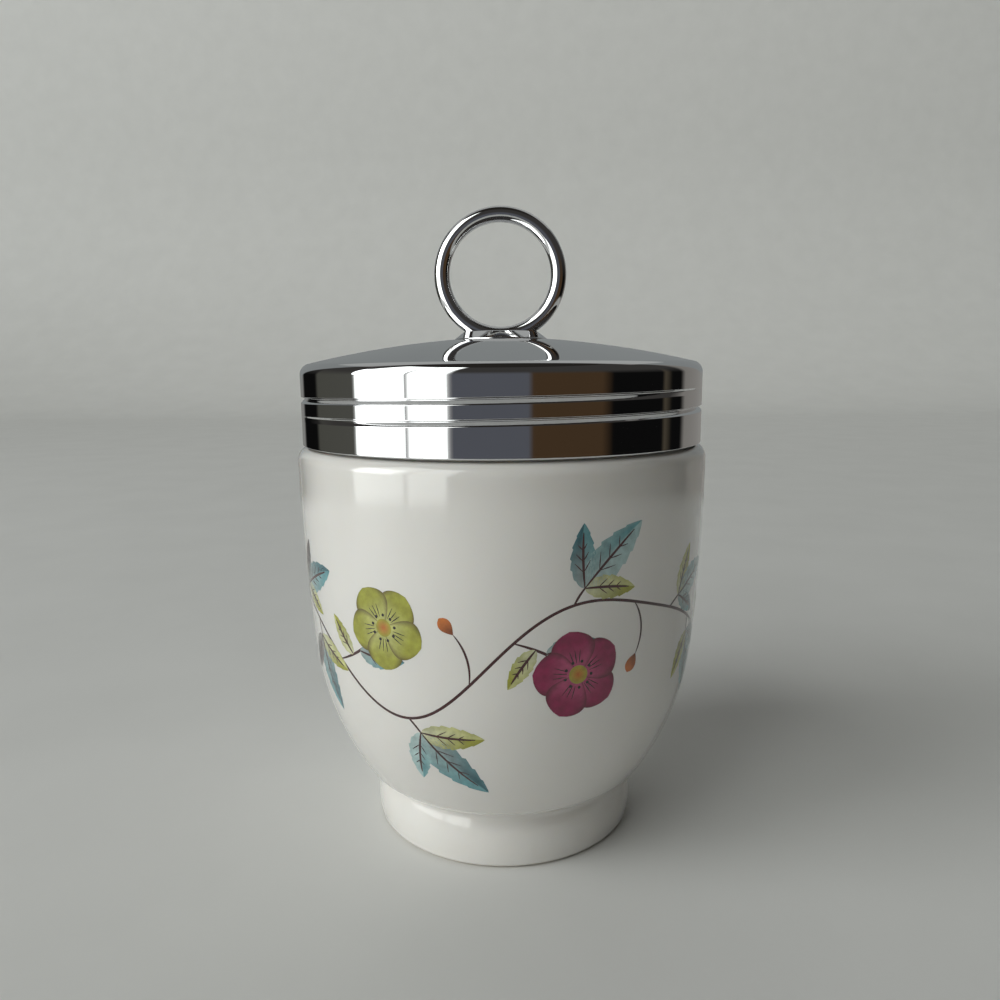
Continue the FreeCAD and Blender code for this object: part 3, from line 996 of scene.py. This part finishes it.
# Soft light of the studio all round: degrees to the right of the camera's back, and radiance
PANEL = (2.3, 2.38, 2.32)
PANEL_SEAM = (0.25, 0.25, 0.25)
DARK = (0.004, 0.004, 0.004)
WARM_DARK = (0.055, 0.033, 0.017)
COOL_GREY = (0.085, 0.09, 0.105)
DUSK = (0.040, 0.038, 0.036)
BACK_LEFT = [(-180, (0.30, 0.30, 0.29)), (-148, (0.20, 0.20, 0.19))]
BACK_RIGHT = [(121, (0.20, 0.19, 0.175)), (180, (0.29, 0.285, 0.27))]
PANELS = [
    (-84, PANEL),
    (-53, PANEL),
    (-52, PANEL_SEAM),
    (-51, PANEL_SEAM),
    (-50, PANEL),
    (-29, PANEL),
]
LOW_ROUND = BACK_LEFT + [
    (-144, DARK),
    (-123, DARK),
    (-120, (0.065, 0.065, 0.055)),
    (-86, (0.075, 0.075, 0.065)),
] + PANELS + [
    (-28, PANEL_SEAM),
    (-27, PANEL_SEAM),
    (-26, COOL_GREY),
    (14, COOL_GREY),
    (17, WARM_DARK),
    (55, WARM_DARK),
    (62, DARK),
    (97, DARK),
    (100, (0.06, 0.05, 0.035)),
    (106, DARK),
    (116, DARK),
] + BACK_RIGHT
HIGH_ROUND = BACK_LEFT + [
    (-140, DUSK),
    (-88, DUSK),
] + PANELS + [
    (-26, DUSK),
    (114, DUSK),
] + BACK_RIGHT
CEILING = (0.02, 0.018, 0.016, 1.0)
GREY_BEHIND = (0.22, 0.235, 0.235, 1.0)
SEEN_BEHIND = (0.43, 0.43, 0.41, 1.0)
# Bounds by the height or depth of a direction of length 1
LOW_TO_HIGH = (0.05, 0.4)
GREY_FROM = (0.2, 0.26)
CEILING_SLOPES = (0.2, 0.85)
CEILING_FRONT = 0.84
CEILING_BACK = -0.02
CEILING_BLUR = 0.03


def plain(tree, colour):
    """A constant colour."""
    made = tree.nodes.new("ShaderNodeRGB")
    made.outputs[0].default_value = colour
    return made.outputs[0]


def all_round(tree, turned_by, stops):
    """Colours by direction round the object."""
    return ramp(tree, turned_by, [((degrees + 180) / 360, colour) for degrees, colour in stops])


def make_surroundings():
    """Bright panels to the left, dark ones in front and to the right, and grey behind."""
    world = bpy.data.worlds.new("studio")
    bpy.context.scene.world = world
    world.use_nodes = True
    tree = world.node_tree
    coords = tree.nodes.new("ShaderNodeTexCoord")
    split = tree.nodes.new("ShaderNodeSeparateXYZ")
    tree.links.new(coords.outputs["Generated"], split.inputs[0])
    ahead = split.outputs["Y"]
    height = split.outputs["Z"]
    behind = node(tree, "ShaderNodeMath", operation="MULTIPLY")
    tree.links.new(ahead, behind.inputs[0])
    behind.inputs[1].default_value = -1.0
    turn = node(tree, "ShaderNodeMath", operation="ARCTAN2")
    tree.links.new(split.outputs["X"], turn.inputs[0])
    tree.links.new(behind.outputs[0], turn.inputs[1])
    turned_by = between(tree, turn.outputs[0], -math.pi, math.pi, 0.0, 1.0)
    low = all_round(tree, turned_by, LOW_ROUND)
    high = all_round(tree, turned_by, HIGH_ROUND)
    sides = mixed(tree, between(tree, height, *LOW_TO_HIGH, 0.0, 1.0), low, high)
    # The ceiling is dark, and behind the object it comes down and turns grey.
    grey = between(tree, ahead, *GREY_FROM, 0.0, 1.0)
    upper = mixed(tree, grey, plain(tree, CEILING), plain(tree, GREY_BEHIND))
    over = node(tree, "ShaderNodeMath", operation="SUBTRACT")
    tree.links.new(height, over.inputs[0])
    edge = between(tree, ahead, *CEILING_SLOPES, CEILING_FRONT, CEILING_BACK)
    tree.links.new(edge, over.inputs[1])
    above = between(tree, over.outputs[0], 0.0, CEILING_BLUR, 0.0, 1.0)
    studio = mixed(tree, above, sides, upper)
    rays = tree.nodes.new("ShaderNodeLightPath")
    seen = mixed(tree, rays.outputs["Is Camera Ray"], studio, plain(tree, SEEN_BEHIND))
    tree.links.new(seen, tree.nodes["Background"].inputs["Color"])


def make_camera():
    """The photograph's view, from a camera fitted to the outlines of cup, lid and ring."""
    distance, height = 118.68 * MM, 67.88 * MM
    pitch, yaw, roll = 0.16397, -0.00267, -0.00841
    level_right = Vector((math.cos(yaw), -math.sin(yaw), 0))
    level_ahead = Vector((math.sin(yaw), math.cos(yaw), 0))
    ahead = level_ahead * math.cos(pitch) - Vector((0, 0, math.sin(pitch)))
    up = level_ahead * math.sin(pitch) + Vector((0, 0, math.cos(pitch)))
    right = level_right * math.cos(roll) + up * math.sin(roll)
    up = up * math.cos(roll) - level_right * math.sin(roll)
    camera = bpy.data.objects.new("camera", bpy.data.cameras.new("camera"))
    camera.data.sensor_width = 36.0
    camera.data.lens = 28.44
    camera.data.clip_start = 0.005
    turn = Matrix((right, up, -ahead)).transposed().to_4x4()
    camera.matrix_world = Matrix.Translation((0, -distance, height)) @ turn
    bpy.context.scene.collection.objects.link(camera)
    bpy.context.scene.camera = camera


make_stage()
make_lights()
make_camera()
bpy.context.scene.view_settings.view_transform = "Standard"

bpy.context.view_layer.update()
